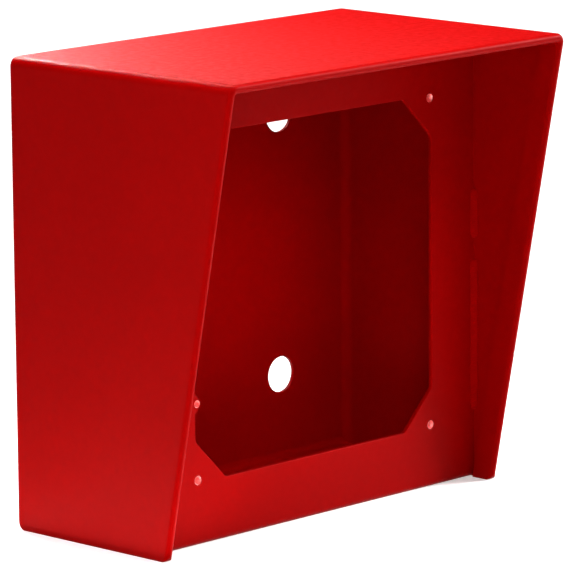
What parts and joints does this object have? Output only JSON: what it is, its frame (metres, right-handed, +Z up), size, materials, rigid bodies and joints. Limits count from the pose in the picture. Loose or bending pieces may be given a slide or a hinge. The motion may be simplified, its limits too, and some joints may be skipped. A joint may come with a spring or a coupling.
{
  "type": "hooded back box for a wall horn strobe",
  "caption": "Red sheet-steel surface back box with a sloping hood and a recessed front panel whose cut-corner opening takes a wall horn strobe.",
  "frame": {"origin": "centre of the back face, the one that lies on the wall", "axes": "+Y runs into the wall, so the front faces -Y; +X is to the right of someone facing the front; +Z is up"},
  "size_m": [0.2032, 0.127, 0.2],
  "materials": {
    "hood_coat": "red textured powder coat, semi-gloss",
    "tray_coat": "red textured powder coat, semi-gloss",
    "panel_coat": "red textured powder coat, semi-gloss",
    "weld_coat": "red textured powder coat over rippled weld metal",
    "device_nut_zinc": "zinc plate in the bore, reddened by overspray of the coat",
    "ground_nut_zinc": "zinc plate in the bore, reddened by overspray of the coat"
  },
  "bodies": {
    "root": {"hood_shell": "hood_coat", "back_tray": "tray_coat", "front_panel": "panel_coat", "panel_welds": "weld_coat", "device_nuts": "device_nut_zinc", "ground_nut": "ground_nut_zinc"}
  },
  "joints": []
}
